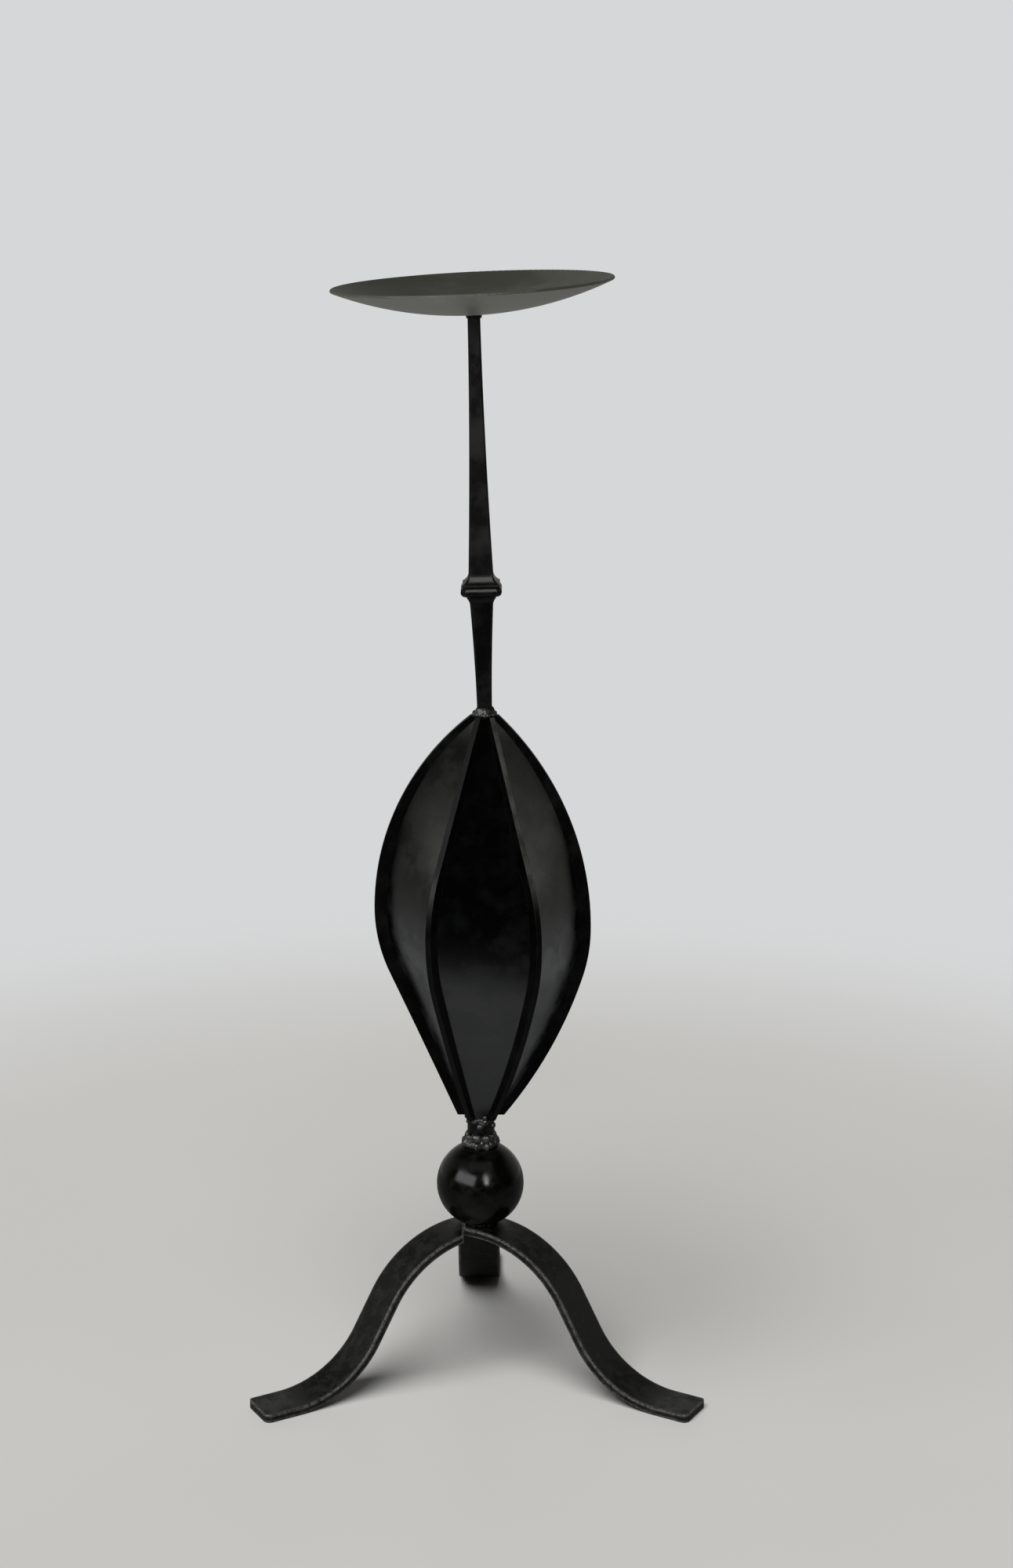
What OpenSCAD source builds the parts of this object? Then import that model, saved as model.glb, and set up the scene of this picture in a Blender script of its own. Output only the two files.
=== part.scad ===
// Iron candle stand: a shallow drip pan on a two-part square stem, over a ribbed
// pod, a neck, a ball and three strap legs. It is forged, peened and welded, so
// nothing on it moves.
// Lengths are in millimetres. The feet rest on z = 0, the ball stands on the
// line x = y = 0, and -y is the front. Azimuths turn from -y towards +x.

/* [Legs] */
// Height of the straps' top face, where they meet under the ball
leg_rise = 110; // [98:1:128]
// Reach of a foot's end from the middle of the legs
leg_reach = 182; // [168:1:205]
// Width of the flat strap
leg_w = 32; // [26:1:38]
// Thickness of the flat strap
leg_t = 6; // [4:0.5:8]
// Length of level strap from the middle to the shoulder bend
leg_flat = 8.6; // [6:0.2:12]
// Radius of the shoulder bend, on the strap's middle line
shoulder_r = 80; // [66:1:88]
// Radius of the ankle bend, on the strap's middle line
ankle_r = 75; // [62:1:84]
// Steepest slope of the strap below level, in degrees
leg_slope = 60; // [54:1:64]
// Corner radius of a foot's end
foot_round = 5; // [2:0.5:9]
// Chamfer along the strap's arrises
leg_chamfer = 0.8; // [0.4:0.1:1.4]
// How far the right strap runs past the middle, where the left one butts on it
leg_lap = 10; // [4:1:12]
// Sideways set of the legs from the ball's middle
leg_set = -2; // [-4:0.5:4]

/* [Ball and neck] */
// Radius of the ball
ball_r = 32; // [28:0.5:38]
// Depth of the flat under the ball, where it sits on the straps
ball_seat = 0.8; // [0.4:0.1:2]
// Radius of the neck tube
neck_r = 9.8; // [9:0.1:12]
// Length of the neck tube
neck_len = 23.4; // [19:0.2:30]
// Radius of the rod that runs from the ball up through the pod
spindle_r = 6; // [4.5:0.5:7]
// Depth of the rod's socket in the ball
socket_depth = 22; // [12:1:32]
// Play between the rod and what it passes through
rod_play = 0.15; // [0.05:0.05:0.3]
// Lean of everything above the ball, towards +x, in degrees
pod_lean = 0.65; // [-2:0.05:2]

/* [Pod] */
// Radius over the ribs at the widest place
pod_r = 77.7; // [68:0.1:88]
// Height from the foot of the pod to its widest place
pod_low = 150; // [135:1:170]
// Height from the widest place to the top of the pod
pod_high = 150; // [135:1:170]
// Radius over the ribs at the top cut
pod_top_r = 9.9; // [9.2:0.1:12]
// Radius over the ribs at the foot cut
pod_foot_r = 17; // [15:0.5:22]
// Radius of the ribs' bend just below the widest place
belly_r = 118; // [104:1:140]
// Turn of that bend, in degrees
belly_turn = 21; // [18:0.5:25]
// Handwork: how much lower the widest place lies on the +x side, and higher on the other
pod_skew = 9; // [-10:0.5:10]
// Handwork: how much more the bend turns on the +x side, and less on the other, in degrees
belly_swing = -3.9; // [-4:0.1:4]
// Handwork: share by which a rib that faced straight forward would be bent tighter
// above its widest place, so that it then runs straight up to the top
front_tight_share = 0.6; // [0:0.01:0.65]
// Turn of the pod about its own line, in degrees
pod_turn = 1; // [-5:0.5:5]
// Thickness of a rib
rib_t = 4; // [3:0.2:5]
// Depth of a rib, from its outer edge inwards
rib_depth = 14; // [13:0.5:18]
// How far the ribs stand proud of the panels at the widest place
rib_proud = 9; // [6:0.5:10]
// How far the ribs stand proud of the panels at the foot
foot_proud = 5; // [3:0.5:6]
// How far the ribs stand proud of the panels at the top
top_proud = 4; // [3:0.5:5]
// Thickness of the panels' sheet
sheet_t = 2; // [1.2:0.1:2.6]

/* [Stem] */
// Length of the lower stem, from the pod to the collar
lower_len = 86; // [74:1:100]
// Width of the lower stem at its foot
lower_foot_w = 10.4; // [9:0.2:12]
// Width of the lower stem below its flare
lower_neck_w = 16; // [14.5:0.2:18]
// Length of the upper stem, from the collar to the pan
upper_len = 186; // [165:1:210]
// Width of the upper stem at its top
upper_top_w = 8.6; // [8:0.2:10]
// Width of the upper stem above its flare
upper_neck_w = 17; // [14.5:0.2:19]
// Width of the upper stem's flare where it meets the collar
upper_flare_w = 26; // [24:0.2:27]
// Width of the lower stem's flare where it meets the collar
lower_flare_w = 20; // [19:0.2:26]
// Radius of the flares' hollow
flare_r = 8.5; // [7:0.5:10]
// Thickness of the flares' rim
flare_rim = 1.2; // [0.8:0.1:1.6]
// Chamfer taken off the stem's corners, measured across them
stem_chamfer = 0.9; // [0.5:0.1:1.4]
// Width of the square collar
collar_w = 28.6; // [27.4:0.2:32]
// Thickness of the collar
collar_t = 7.2; // [6:0.2:9]
// Chamfer on the collar's four corners, measured across them
collar_chamfer = 2.4; // [1.2:0.2:3.6]
// Radius of the tenon that joins the two stems through the collar
tenon_r = 4; // [3:0.2:4.6]
// Length of the tenon beyond the collar
tenon_reach = 12; // [8:0.5:16]
// Play around the tenon
tenon_play = 0.1; // [0.05:0.05:0.2]
// Lean of the stem, towards +x, in degrees
stem_lean = -1.42; // [-2.5:0.02:1]

/* [Pan] */
// Radius of the pan's rim
pan_r = 96; // [80:1:115]
// Height of the pan, from its lowest point to its rim
pan_h = 19.5; // [15:0.5:26]
// Thickness of the pan's sheet
pan_t = 2; // [1.4:0.1:2.6]
// Tilt of the pan, +x side up when negative, in degrees
pan_tilt = -2.8; // [-4:0.1:3]
// Radius of the rivet end that holds the pan
rivet_r = 3; // [2.4:0.1:3.6]
// Radius of the rivet's peened head
rivet_head_r = 6; // [5:0.2:8]
// Height of the rivet's peened head
rivet_head_h = 2; // [1.4:0.1:3]

/* [Welds] */
// Size of the weld between the pan and the stem
pan_weld = 4.5; // [3:0.5:6]
// Thickness of that weld at its outer edge
pan_weld_edge = 2.2; // [1.4:0.2:3]
// Radius of the bead round the stem's foot
top_bead_r = 3.6; // [3:0.2:4.2]
// Radius of a blob in the weld between the pod and the neck
pod_blob_r = 3; // [2.4:0.1:3.6]
// Radius of a blob in the weld between the neck and the ball
neck_blob_r = 4.2; // [3.4:0.1:5]
// Reach of the weld between the ball and the straps, from the axis
leg_weld_r = 15; // [13:0.5:15.5]
// Radius that the same weld doesn't reach inside
leg_weld_bore = 8; // [7.4:0.2:10]

/* [Hidden] */

// Black paint over iron, a shade apart on bars, sheet and welds
bar_colour = [0.15, 0.15, 0.15];
sheet_colour = [0.22, 0.22, 0.21];
weld_colour = [0.28, 0.28, 0.28];

// Cuts run past what they cut by this much
overrun = 1;

// Radii that are worked out are kept to this step
radius_step = 0.01;

// Where a bend runs into the next stretch, the seam lies this much past the point
// where they meet, and shows as a clean step of a few hundredths at most. Stretches
// of strap also lap each other by this much.
bend_lap = 1;

// Three legs and six ribs, evenly spaced; the front panel lies between two ribs
leg_step = 360 / 3;
rib_step = 360 / 6;
half_step = rib_step / 2;

// Strap: the height of its middle line at the hub, and its two straight stretches
strap_z = leg_rise - leg_t / 2;
bends_fall = (shoulder_r + ankle_r) * (1 - cos(leg_slope));
bends_reach = (shoulder_r + ankle_r) * sin(leg_slope);
slope_len = (strap_z - leg_t / 2 - bends_fall) / sin(leg_slope);
foot_len = leg_reach - leg_flat - bends_reach - slope_len * cos(leg_slope);

// Ball and neck, as heights above the ball's middle
ball_z = leg_rise + ball_r - ball_seat;
neck_z = sqrt(ball_r * ball_r - neck_r * neck_r);
pod_z = neck_z + neck_len;
pod_h = pod_low + pod_high;

// Pan: the radius of the sphere that its underside follows
pan_sphere_r = (pan_r * pan_r + pan_h * pan_h) / (2 * pan_h);

function unit(angle) = [cos(angle), sin(angle)];

// Radius of an arc that starts upright and moves sideways by dx over a height dz
function arc_r(dx, dz) = (dx * dx + dz * dz) / (2 * dx);

// Places: each one carries its children from the frame before it
module on_ball() {
    translate([0, 0, ball_z]) rotate([0, pod_lean, 0]) children();
}

module on_neck() {
    on_ball() translate([0, 0, pod_z]) children();
}

module on_pod() {
    on_neck() translate([0, 0, pod_h]) rotate([0, stem_lean - pod_lean, 0]) children();
}

module on_collar() {
    on_pod() translate([0, 0, lower_len + collar_t]) children();
}

module in_pan() {
    on_collar() translate([0, 0, upper_len]) rotate([0, pan_tilt - stem_lean, 0]) children();
}

module facing(azimuth) {
    rotate([0, 0, azimuth - 90]) children();
}

// Flat outline stood upright, its x still x and its y turned to z
module upright(thickness) {
    rotate([90, 0, 0]) linear_extrude(thickness, center = true) children();
}

module mirrored() {
    children();
    mirror([1, 0]) children();
}

module flat_ring(r_a, r_b) {
    difference() {
        circle(r = max(r_a, r_b), $fn = 720);
        circle(r = min(r_a, r_b), $fn = 720);
    }
}

// Legs

module strap_section() {
    difference() {
        square([leg_t, leg_w], center = true);
        for (x = [-1, 1], y = [-1, 1])
            translate([x * leg_t / 2, y * leg_w / 2]) rotate(45) square(leg_chamfer * sqrt(2), center = true);
    }
}

// Stretches of strap, laid one after another: each one heads along x, carries the
// next at its end, starts one lap late and ends two laps late. A bend is a cut ring.
module strap_run(length) {
    translate([bend_lap, 0, 0]) rotate([0, 90, 0]) linear_extrude(length + bend_lap) strap_section();
    translate([length, 0, 0]) children();
}

module past_strap_bend(radius, side) {
    translate([0, 0, -side * radius]) rotate([0, side * leg_slope, 0]) translate([0, 0, side * radius])
        children();
}

module ahead() {
    translate([0, -leg_w, -leg_reach]) cube([leg_reach, 2 * leg_w, 2 * leg_reach]);
}

module strap_bend(radius, side) {
    difference() {
        translate([0, 0, -side * radius]) rotate([90, 0, 0])
            rotate_extrude($fn = 180) translate([radius, 0]) strap_section();
        translate([bend_lap, 0, 0]) mirror([1, 0, 0]) ahead();
        past_strap_bend(radius, side) translate([2 * bend_lap, 0, 0]) ahead();
    }
    past_strap_bend(radius, side) children();
}

module foot_outline() {
    side = leg_w / 2 - foot_round;
    end = leg_reach - foot_round;
    translate([-leg_reach, -leg_w / 2]) square([leg_reach + end, leg_w]);
    translate([-leg_reach, -side]) square([2 * leg_reach, 2 * side]);
    for (y = [-side, side]) translate([end, y]) circle(r = foot_round, $fn = 48);
}

module strap() {
    intersection() {
        translate([-leg_w, 0, strap_z]) strap_run(leg_w + leg_flat)
            strap_bend(shoulder_r, 1)
            strap_run(slope_len)
            strap_bend(ankle_r, -1)
            strap_run(foot_len);
        linear_extrude(leg_rise) foot_outline();
    }
}

// The back strap keeps the wedge behind the middle. The front two part on a line
// to the left of the middle, so the right strap laps past it.
module back_ground() {
    polygon([[0, 0], 2 * leg_reach * unit(90 - leg_step / 2), 2 * leg_reach * unit(90 + leg_step / 2)]);
}

module right_ground() {
    difference() {
        translate([-leg_lap, -leg_reach]) square(2 * leg_reach);
        back_ground();
    }
}

module left_ground() {
    difference() {
        translate([-leg_lap - 2 * leg_reach, -leg_reach]) square(2 * leg_reach);
        back_ground();
    }
}

module leg(azimuth) {
    color(bar_colour) translate([leg_set, 0, 0]) intersection() {
        facing(azimuth) strap();
        linear_extrude(leg_rise) children();
    }
}

module leg_front_left() leg(-leg_step / 2) left_ground();

module leg_front_right() leg(leg_step / 2) right_ground();

module leg_back() leg(180) back_ground();

module leg_weld() {
    color(weld_colour) difference() {
        translate([0, 0, leg_rise]) cylinder(r = leg_weld_r, h = ball_z - leg_rise, $fn = 96);
        translate([0, 0, leg_rise - overrun]) cylinder(r = leg_weld_bore, h = ball_r, $fn = 96);
        translate([0, 0, ball_z]) sphere(r = ball_r, $fn = 180);
    }
}

// Ball and neck

module ball() {
    color(bar_colour) difference() {
        translate([0, 0, ball_z]) sphere(r = ball_r, $fn = 180);
        translate([-ball_r, -ball_r, leg_rise - ball_r]) cube([2 * ball_r, 2 * ball_r, ball_r]);
        on_ball() translate([-ball_r, -ball_r, neck_z]) cube([2 * ball_r, 2 * ball_r, ball_r]);
        on_ball() translate([0, 0, neck_z - socket_depth])
            cylinder(r = spindle_r + rod_play, h = ball_r, $fn = 64);
    }
}

module pod_spindle() {
    color(bar_colour) on_ball() translate([0, 0, neck_z - socket_depth])
        cylinder(r = spindle_r, h = socket_depth + neck_len + pod_h, $fn = 64);
}

module neck() {
    color(bar_colour) on_ball() translate([0, 0, neck_z]) difference() {
        cylinder(r = neck_r, h = neck_len, $fn = 96);
        translate([0, 0, -overrun]) cylinder(r = spindle_r + rod_play, h = neck_len + 2 * overrun, $fn = 64);
    }
}

// A weld round the neck: a bead with blobs on it, uneven as laid by hand. The
// shares are of the blob's radius: each blob's size, the bead's, how far the bead's
// middle lies outside the neck's wall, and how far below the pod.
blob_shares = [1, 0.86, 0.95, 0.8, 1, 0.9, 0.82, 0.97, 0.88];
bead_share = 0.72;
blob_out_share = 0.25;
blob_drop_share = 0.5;

module blob_ring(ring_r, blob_r) {
    rotate_extrude($fn = 96) translate([ring_r, 0]) circle(r = blob_r * bead_share, $fn = 32);
    for (i = [0 : len(blob_shares) - 1]) rotate(i * 360 / len(blob_shares)) translate([ring_r, 0, 0])
        sphere(r = blob_r * blob_shares[i], $fn = 32);
}

module neck_weld() {
    ring_r = neck_r + neck_blob_r * blob_out_share;
    color(weld_colour) on_ball() difference() {
        translate([0, 0, sqrt(ball_r * ball_r - ring_r * ring_r)]) blob_ring(ring_r, neck_blob_r);
        sphere(r = ball_r, $fn = 180);
        cylinder(r = neck_r, h = 2 * ball_r, $fn = 96);
    }
}

module pod_bottom_weld() {
    color(weld_colour) on_neck() difference() {
        translate([0, 0, -pod_blob_r * blob_drop_share])
            blob_ring(neck_r + pod_blob_r * blob_out_share, pod_blob_r);
        translate([-pod_r, -pod_r, 0]) cube(2 * pod_r);
        translate([0, 0, -neck_len]) cylinder(r = neck_r, h = 2 * neck_len, $fn = 96);
    }
}

// Pod

// Ring whose wall starts at the origin and runs inwards by depth; its middle lies
// inwards too, or outwards where the radius is negative
module bend(radius, depth) {
    translate([-radius, 0]) flat_ring(abs(radius), abs(radius - depth));
}

module past_bend(radius, turn) {
    translate([-radius, 0]) rotate(-turn) translate([radius, 0]) children();
}

// Radii that the wall's two faces share a middle for, kept to a hundredth
function fine(radius) = round(radius / radius_step) * radius_step;

module below() {
    translate([-pod_h, -pod_h]) square([2 * pod_h, pod_h]);
}

module below_cut() {
    translate([0, -bend_lap]) below();
}

// The pod's wall, where it faces an azimuth: the height of its widest place, the turn
// of the belly below that, and the radius and the turn of the crown above it. Past
// that turn the crown runs straight to the top.
function front_share(azimuth) = max(cos(azimuth), 0);
function low_at(azimuth) = pod_low - pod_skew * sin(azimuth);
function turn_at(azimuth) = belly_turn + belly_swing * sin(azimuth);
function crown_r(azimuth) =
    fine(arc_r(pod_r - pod_top_r, pod_h - low_at(azimuth)) * (1 - front_tight_share * front_share(azimuth)));
function crown_turn(azimuth) =
    let (rise = [pod_top_r - pod_r + crown_r(azimuth), pod_h - low_at(azimuth)])
    atan2(rise.y, rise.x) - acos(min(crown_r(azimuth) / norm(rise), 1));

// The point where belly and flank meet, and the radius of the flank
function belly_end(azimuth) = [pod_r - belly_r, low_at(azimuth)] + belly_r * unit(-turn_at(azimuth));
function flank_r(azimuth) =
    let (fall = [pod_foot_r, 0] - belly_end(azimuth))
    fine(-(fall * fall) / (2 * (fall * unit(-turn_at(azimuth)))));

// Outline of a rib: a crown above the widest place, a belly below it, and a long
// flank down to the foot. Each stretch starts where the one before it ends, and
// follows on smoothly.
module rib_outline(azimuth) {
    crown = crown_r(azimuth);
    turn = turn_at(azimuth);
    intersection() {
        square([pod_r + overrun, pod_h]);
        translate([pod_r, low_at(azimuth)]) {
            difference() {
                bend(crown, rib_depth);
                below();
                if (front_share(azimuth) > 0)
                    past_bend(crown, -crown_turn(azimuth)) translate([0, bend_lap]) mirror([0, 1]) below();
            }
            if (front_share(azimuth) > 0)
                past_bend(crown, -crown_turn(azimuth)) translate([-rib_depth, bend_lap])
                    square([rib_depth, pod_h]);
            difference() {
                intersection() {
                    bend(belly_r, rib_depth);
                    below();
                }
                past_bend(belly_r, turn) below_cut();
            }
            past_bend(belly_r, turn) intersection() {
                bend(flank_r(azimuth), rib_depth);
                below_cut();
            }
        }
    }
}

module rod_gap() {
    translate([0, 0, -overrun]) cylinder(r = spindle_r, h = pod_h + 2 * overrun, $fn = 64);
}

module in_pod() {
    on_neck() rotate([0, 0, pod_turn]) children();
}

module rib(azimuth) {
    color(bar_colour) in_pod() difference() {
        facing(azimuth) upright(rib_t) rib_outline(azimuth);
        rod_gap();
    }
}

// Distance of the wall from the pod's line at a height, this far in from the edge of
// a rib at that azimuth
function wall_r(azimuth, z, inward) =
    let (
        crown = crown_r(azimuth),
        lean = crown_turn(azimuth),
        turn = turn_at(azimuth),
        flank = flank_r(azimuth),
        flank_middle = belly_end(azimuth) - flank * unit(-turn),
        up = z - low_at(azimuth)
    )
    up > (crown - inward) * sin(lean) ? pod_top_r + (pod_h - z) * tan(lean) - inward / cos(lean)
    : up > 0 ? pod_r - crown + sqrt(pow(crown - inward, 2) - up * up)
    : up > -(belly_r - inward) * sin(turn) ? pod_r - belly_r + sqrt(pow(belly_r - inward, 2) - up * up)
    : flank_middle.x + sign(flank) * sqrt(pow(flank - inward, 2) - pow(z - flank_middle.y, 2));

// How far a sheet stands back from a rib's edge: most at the widest place, and less
// towards both ends
function stand_back(azimuth, z) =
    let (
        low = low_at(azimuth),
        end = z > low ? top_proud : foot_proud,
        share = z > low ? (z - low) / (pod_h - low) : (low - z) / low
    )
    end + (rib_proud - end) * (1 - share * share);

// Where a face of a sheet meets a rib, on the rib's side that lies towards the sheet.
// Near the top, where the rod's gap takes the sheet away, it comes no nearer the line
// than least.
function seam(azimuth, side, z, inward, least) =
    let (
        away = max(wall_r(azimuth, z, stand_back(azimuth, z) + inward), least),
        aside = side * rib_t / 2
    )
    [away * sin(azimuth) + aside * cos(azimuth), aside * sin(azimuth) - away * cos(azimuth), z];

// A panel is a sheet let in between two ribs. At each height it runs flat from one
// rib to the other, and the ribs may differ.
panel_steps = 75;

module panel(azimuth) {
    first = azimuth - half_step;
    second = azimuth + half_step;
    deep = sheet_t / cos(half_step);
    near = spindle_r - overrun;
    rings = [
        for (i = [0 : panel_steps])
            let (z = pod_h * i / panel_steps)
            each [
                seam(first, 1, z, 0, near), seam(second, -1, z, 0, near),
                seam(second, -1, z, deep, near - overrun), seam(first, 1, z, deep, near - overrun)
            ]
    ];
    walls = [
        for (i = [0 : panel_steps - 1], k = [0 : 3])
            let (a = 4 * i + k, b = 4 * i + (k + 1) % 4)
            each [[a, a + 4, b], [b, a + 4, b + 4]]
    ];
    last = 4 * panel_steps;
    ends = [[0, 1, 2], [0, 2, 3], [last, last + 2, last + 1], [last, last + 3, last + 2]];
    color(sheet_colour) in_pod() difference() {
        polyhedron(points = rings, faces = concat(walls, ends));
        rod_gap();
    }
}

module pod_top_weld() {
    color(weld_colour) difference() {
        on_neck() translate([0, 0, pod_h]) rotate_extrude($fn = 96) intersection() {
            translate([lower_foot_w / 2, 0]) circle(r = top_bead_r, $fn = 48);
            square(2 * pod_top_r);
        }
        lower_bar();
    }
}

// Stem

// Side outline of a bar that widens towards its foot and then flares; t runs from
// one where the taper meets the flare to zero at the slim end
taper_power = 1.7;
taper_steps = 12;

module stem_outline(length, slim, stout, flare) {
    flare_top = flare_rim + sqrt(flare_r * flare_r - pow(flare_r - (flare - stout), 2));
    taper = [
        for (i = [0 : taper_steps])
            let (t = 1 - i / taper_steps)
            [slim + (stout - slim) * pow(t, taper_power), length - (length - flare_top) * t]
    ];
    mirrored() {
        polygon(concat([[0, length], [0, 0], [stout, 0]], taper));
        difference() {
            square([flare, flare_top]);
            translate([stout + flare_r, flare_top]) circle(r = flare_r, $fn = 96);
        }
    }
}

// The same outline from both sides makes the bar square, and a wider one on the
// diagonals takes off its corners
module square_bar(length, slim_w, stout_w, flare_w) {
    diagonal = sqrt(2) / 2;
    intersection() {
        intersection_for(turn = [0, 90]) rotate(turn) upright(2 * flare_w)
            stem_outline(length, slim_w / 2, stout_w / 2, flare_w / 2);
        intersection_for(turn = [45, 135]) rotate(turn) upright(2 * flare_w)
            stem_outline(length, slim_w * diagonal - stem_chamfer, stout_w * diagonal - stem_chamfer,
                flare_w * diagonal - stem_chamfer);
    }
}

module lower_bar() {
    on_pod() translate([0, 0, lower_len]) mirror([0, 0, 1])
        square_bar(lower_len + overrun, lower_foot_w, lower_neck_w, lower_flare_w);
}

module lower_stem() {
    color(bar_colour) difference() {
        lower_bar();
        on_neck() translate([-pod_r, -pod_r, -pod_r + pod_h]) cube([2 * pod_r, 2 * pod_r, pod_r]);
        on_pod() translate([0, 0, lower_len - tenon_reach - tenon_play])
            cylinder(r = tenon_r + tenon_play, h = 2 * tenon_reach, $fn = 64);
    }
}

module collar_outline(half) {
    edge = collar_t / 2;
    mirrored() {
        square([half - edge, collar_t]);
        translate([half - edge, edge]) circle(r = edge, $fn = 64);
    }
}

module stem_collar() {
    corner = collar_w * sqrt(2) / 2 - collar_chamfer;
    color(bar_colour) on_pod() translate([0, 0, lower_len]) difference() {
        intersection() {
            intersection_for(turn = [0, 90]) rotate(turn) upright(2 * collar_w) collar_outline(collar_w / 2);
            intersection_for(turn = [45, 135]) rotate(turn) upright(2 * collar_w) collar_outline(corner);
        }
        translate([0, 0, -overrun]) cylinder(r = tenon_r + tenon_play, h = collar_t + 2 * overrun, $fn = 64);
    }
}

module upper_bar() {
    on_collar() square_bar(upper_len + overrun, upper_top_w, upper_neck_w, upper_flare_w);
}

module upper_stem() {
    color(bar_colour) {
        difference() {
            upper_bar();
            in_pan() pan_ball();
        }
        on_collar() translate([0, 0, -collar_t - tenon_reach])
            cylinder(r = tenon_r, h = collar_t + tenon_reach, $fn = 64);
        in_pan() rivet();
    }
}

// Pan

module pan_ball() {
    translate([0, 0, pan_sphere_r]) sphere(r = pan_sphere_r, $fn = 240);
}

module rivet() {
    head_r = arc_r(rivet_head_h, rivet_head_r);
    translate([0, 0, -overrun]) cylinder(r = rivet_r, h = pan_t + 2 * overrun, $fn = 48);
    intersection() {
        translate([0, 0, pan_sphere_r]) sphere(r = pan_sphere_r - pan_t, $fn = 180);
        translate([0, 0, pan_t + rivet_head_h - head_r]) sphere(r = head_r, $fn = 96);
    }
}

module dish() {
    rim = unit(atan(pan_r / (pan_sphere_r - pan_h)) - 90);
    color(sheet_colour) in_pan() difference() {
        rotate_extrude($fn = 240) translate([0, pan_sphere_r]) {
            intersection() {
                flat_ring(pan_sphere_r, pan_sphere_r - pan_t);
                polygon([[0, 0], [0, -2 * pan_sphere_r], 2 * pan_sphere_r * rim]);
            }
            translate((pan_sphere_r - pan_t / 2) * rim) circle(r = pan_t / 2, $fn = 32);
        }
        translate([0, 0, -overrun]) cylinder(r = rivet_r + tenon_play, h = pan_h, $fn = 48);
    }
}

module dish_weld() {
    out = upper_top_w / 2 + pan_weld;
    foot = -pan_weld - pan_weld_edge;
    color(weld_colour) difference() {
        in_pan() rotate_extrude($fn = 96) difference() {
            translate([0, foot]) square([out, pan_weld_edge - foot]);
            translate([out, foot]) circle(r = pan_weld, $fn = 64);
        }
        in_pan() pan_ball();
        upper_bar();
    }
}

dish();
dish_weld();
upper_stem();
stem_collar();
lower_stem();
pod_top_weld();
rib(half_step);  // rib_1
rib(half_step + rib_step);  // rib_2
rib(half_step + 2 * rib_step);  // rib_3
rib(half_step + 3 * rib_step);  // rib_4
rib(half_step + 4 * rib_step);  // rib_5
rib(half_step + 5 * rib_step);  // rib_6
panel(0);  // panel_1
panel(rib_step);  // panel_2
panel(2 * rib_step);  // panel_3
panel(3 * rib_step);  // panel_4
panel(4 * rib_step);  // panel_5
panel(5 * rib_step);  // panel_6
pod_spindle();
pod_bottom_weld();
neck();
neck_weld();
ball();
leg_front_left();
leg_front_right();
leg_back();
leg_weld();
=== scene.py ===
"""Looks of an iron candle stand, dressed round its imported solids.

Sizes in the classes are in millimetres and degrees, and the scene is in metres.
"""
import logging
import math
import random
from collections.abc import Iterable
from dataclasses import dataclass, field, replace
from enum import Enum

import bmesh
import bpy
from mathutils import Matrix, Vector, noise


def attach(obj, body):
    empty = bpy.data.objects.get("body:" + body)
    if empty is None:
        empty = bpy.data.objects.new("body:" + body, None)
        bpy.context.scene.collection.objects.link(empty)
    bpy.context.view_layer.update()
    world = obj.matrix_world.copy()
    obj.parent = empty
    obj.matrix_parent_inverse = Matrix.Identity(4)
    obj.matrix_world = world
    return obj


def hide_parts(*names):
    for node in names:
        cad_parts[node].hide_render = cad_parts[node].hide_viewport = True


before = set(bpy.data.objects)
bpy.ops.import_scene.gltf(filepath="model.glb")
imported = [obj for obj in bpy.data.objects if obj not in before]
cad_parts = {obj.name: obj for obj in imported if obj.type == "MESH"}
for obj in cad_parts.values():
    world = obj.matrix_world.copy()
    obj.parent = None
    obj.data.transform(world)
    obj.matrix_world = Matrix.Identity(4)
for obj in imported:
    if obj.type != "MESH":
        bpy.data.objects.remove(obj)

MM = 0.001
BODY = "root"
LOG = logging.getLogger("candle_stand")

# A Mix node's sockets for colours go by number, as its sockets for numbers share their names
SHARE, FIRST, SECOND, MIXED = 0, 6, 7, 2
# How far apart a Wave node draws its bands at a scale of 1
WAVE_STEP = math.tau / 20

Colour = tuple[float, float, float, float]
Socket = bpy.types.NodeSocket
Tree = bpy.types.NodeTree


def linear(code: str) -> Colour:
    """Turns an sRGB hex colour into the linear colour that a shader takes.

    Args:
        code: the colour as "#rrggbb".

    Returns:
        Linear red, green and blue, and an alpha of 1.
    """
    parts = [int(code[at:at + 2], 16) / 255 for at in (1, 3, 5)]
    red, green, blue = (
        p / 12.92 if p <= 0.04045 else ((p + 0.055) / 1.055) ** 2.4 for p in parts)
    return red, green, blue, 1.0


def per_metre(size_mm: float) -> float:
    """Gives the texture scale at which one mark of a pattern is size_mm long."""
    return 1.0 / (size_mm * MM)


def add(tree: Tree, kind: str, links: dict | None = None, **settings: object) -> bpy.types.Node:
    """Adds one node with its settings and what goes into its sockets.

    Args:
        tree: the node tree it joins.
        kind: the node's type name.
        links: for each input, by name or number, a socket to link or a plain value.
        **settings: the node's own properties.

    Returns:
        The node.
    """
    node = tree.nodes.new(kind)
    for name, value in settings.items():
        setattr(node, name, value)
    for name, value in (links or {}).items():
        if isinstance(value, Socket):
            tree.links.new(value, node.inputs[name])
        else:
            node.inputs[name].default_value = value
    return node


def blank(name: str) -> tuple[bpy.types.Material, Tree, Socket]:
    """Starts a material that holds nothing yet but the place its patterns go by.

    Args:
        name: the material's name.

    Returns:
        The material, its node tree, and the socket that gives each point's place.
    """
    made = bpy.data.materials.new(name)
    made.use_nodes = True
    tree = made.node_tree
    tree.nodes.clear()
    return made, tree, add(tree, "ShaderNodeTexCoord").outputs["Object"]


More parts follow.
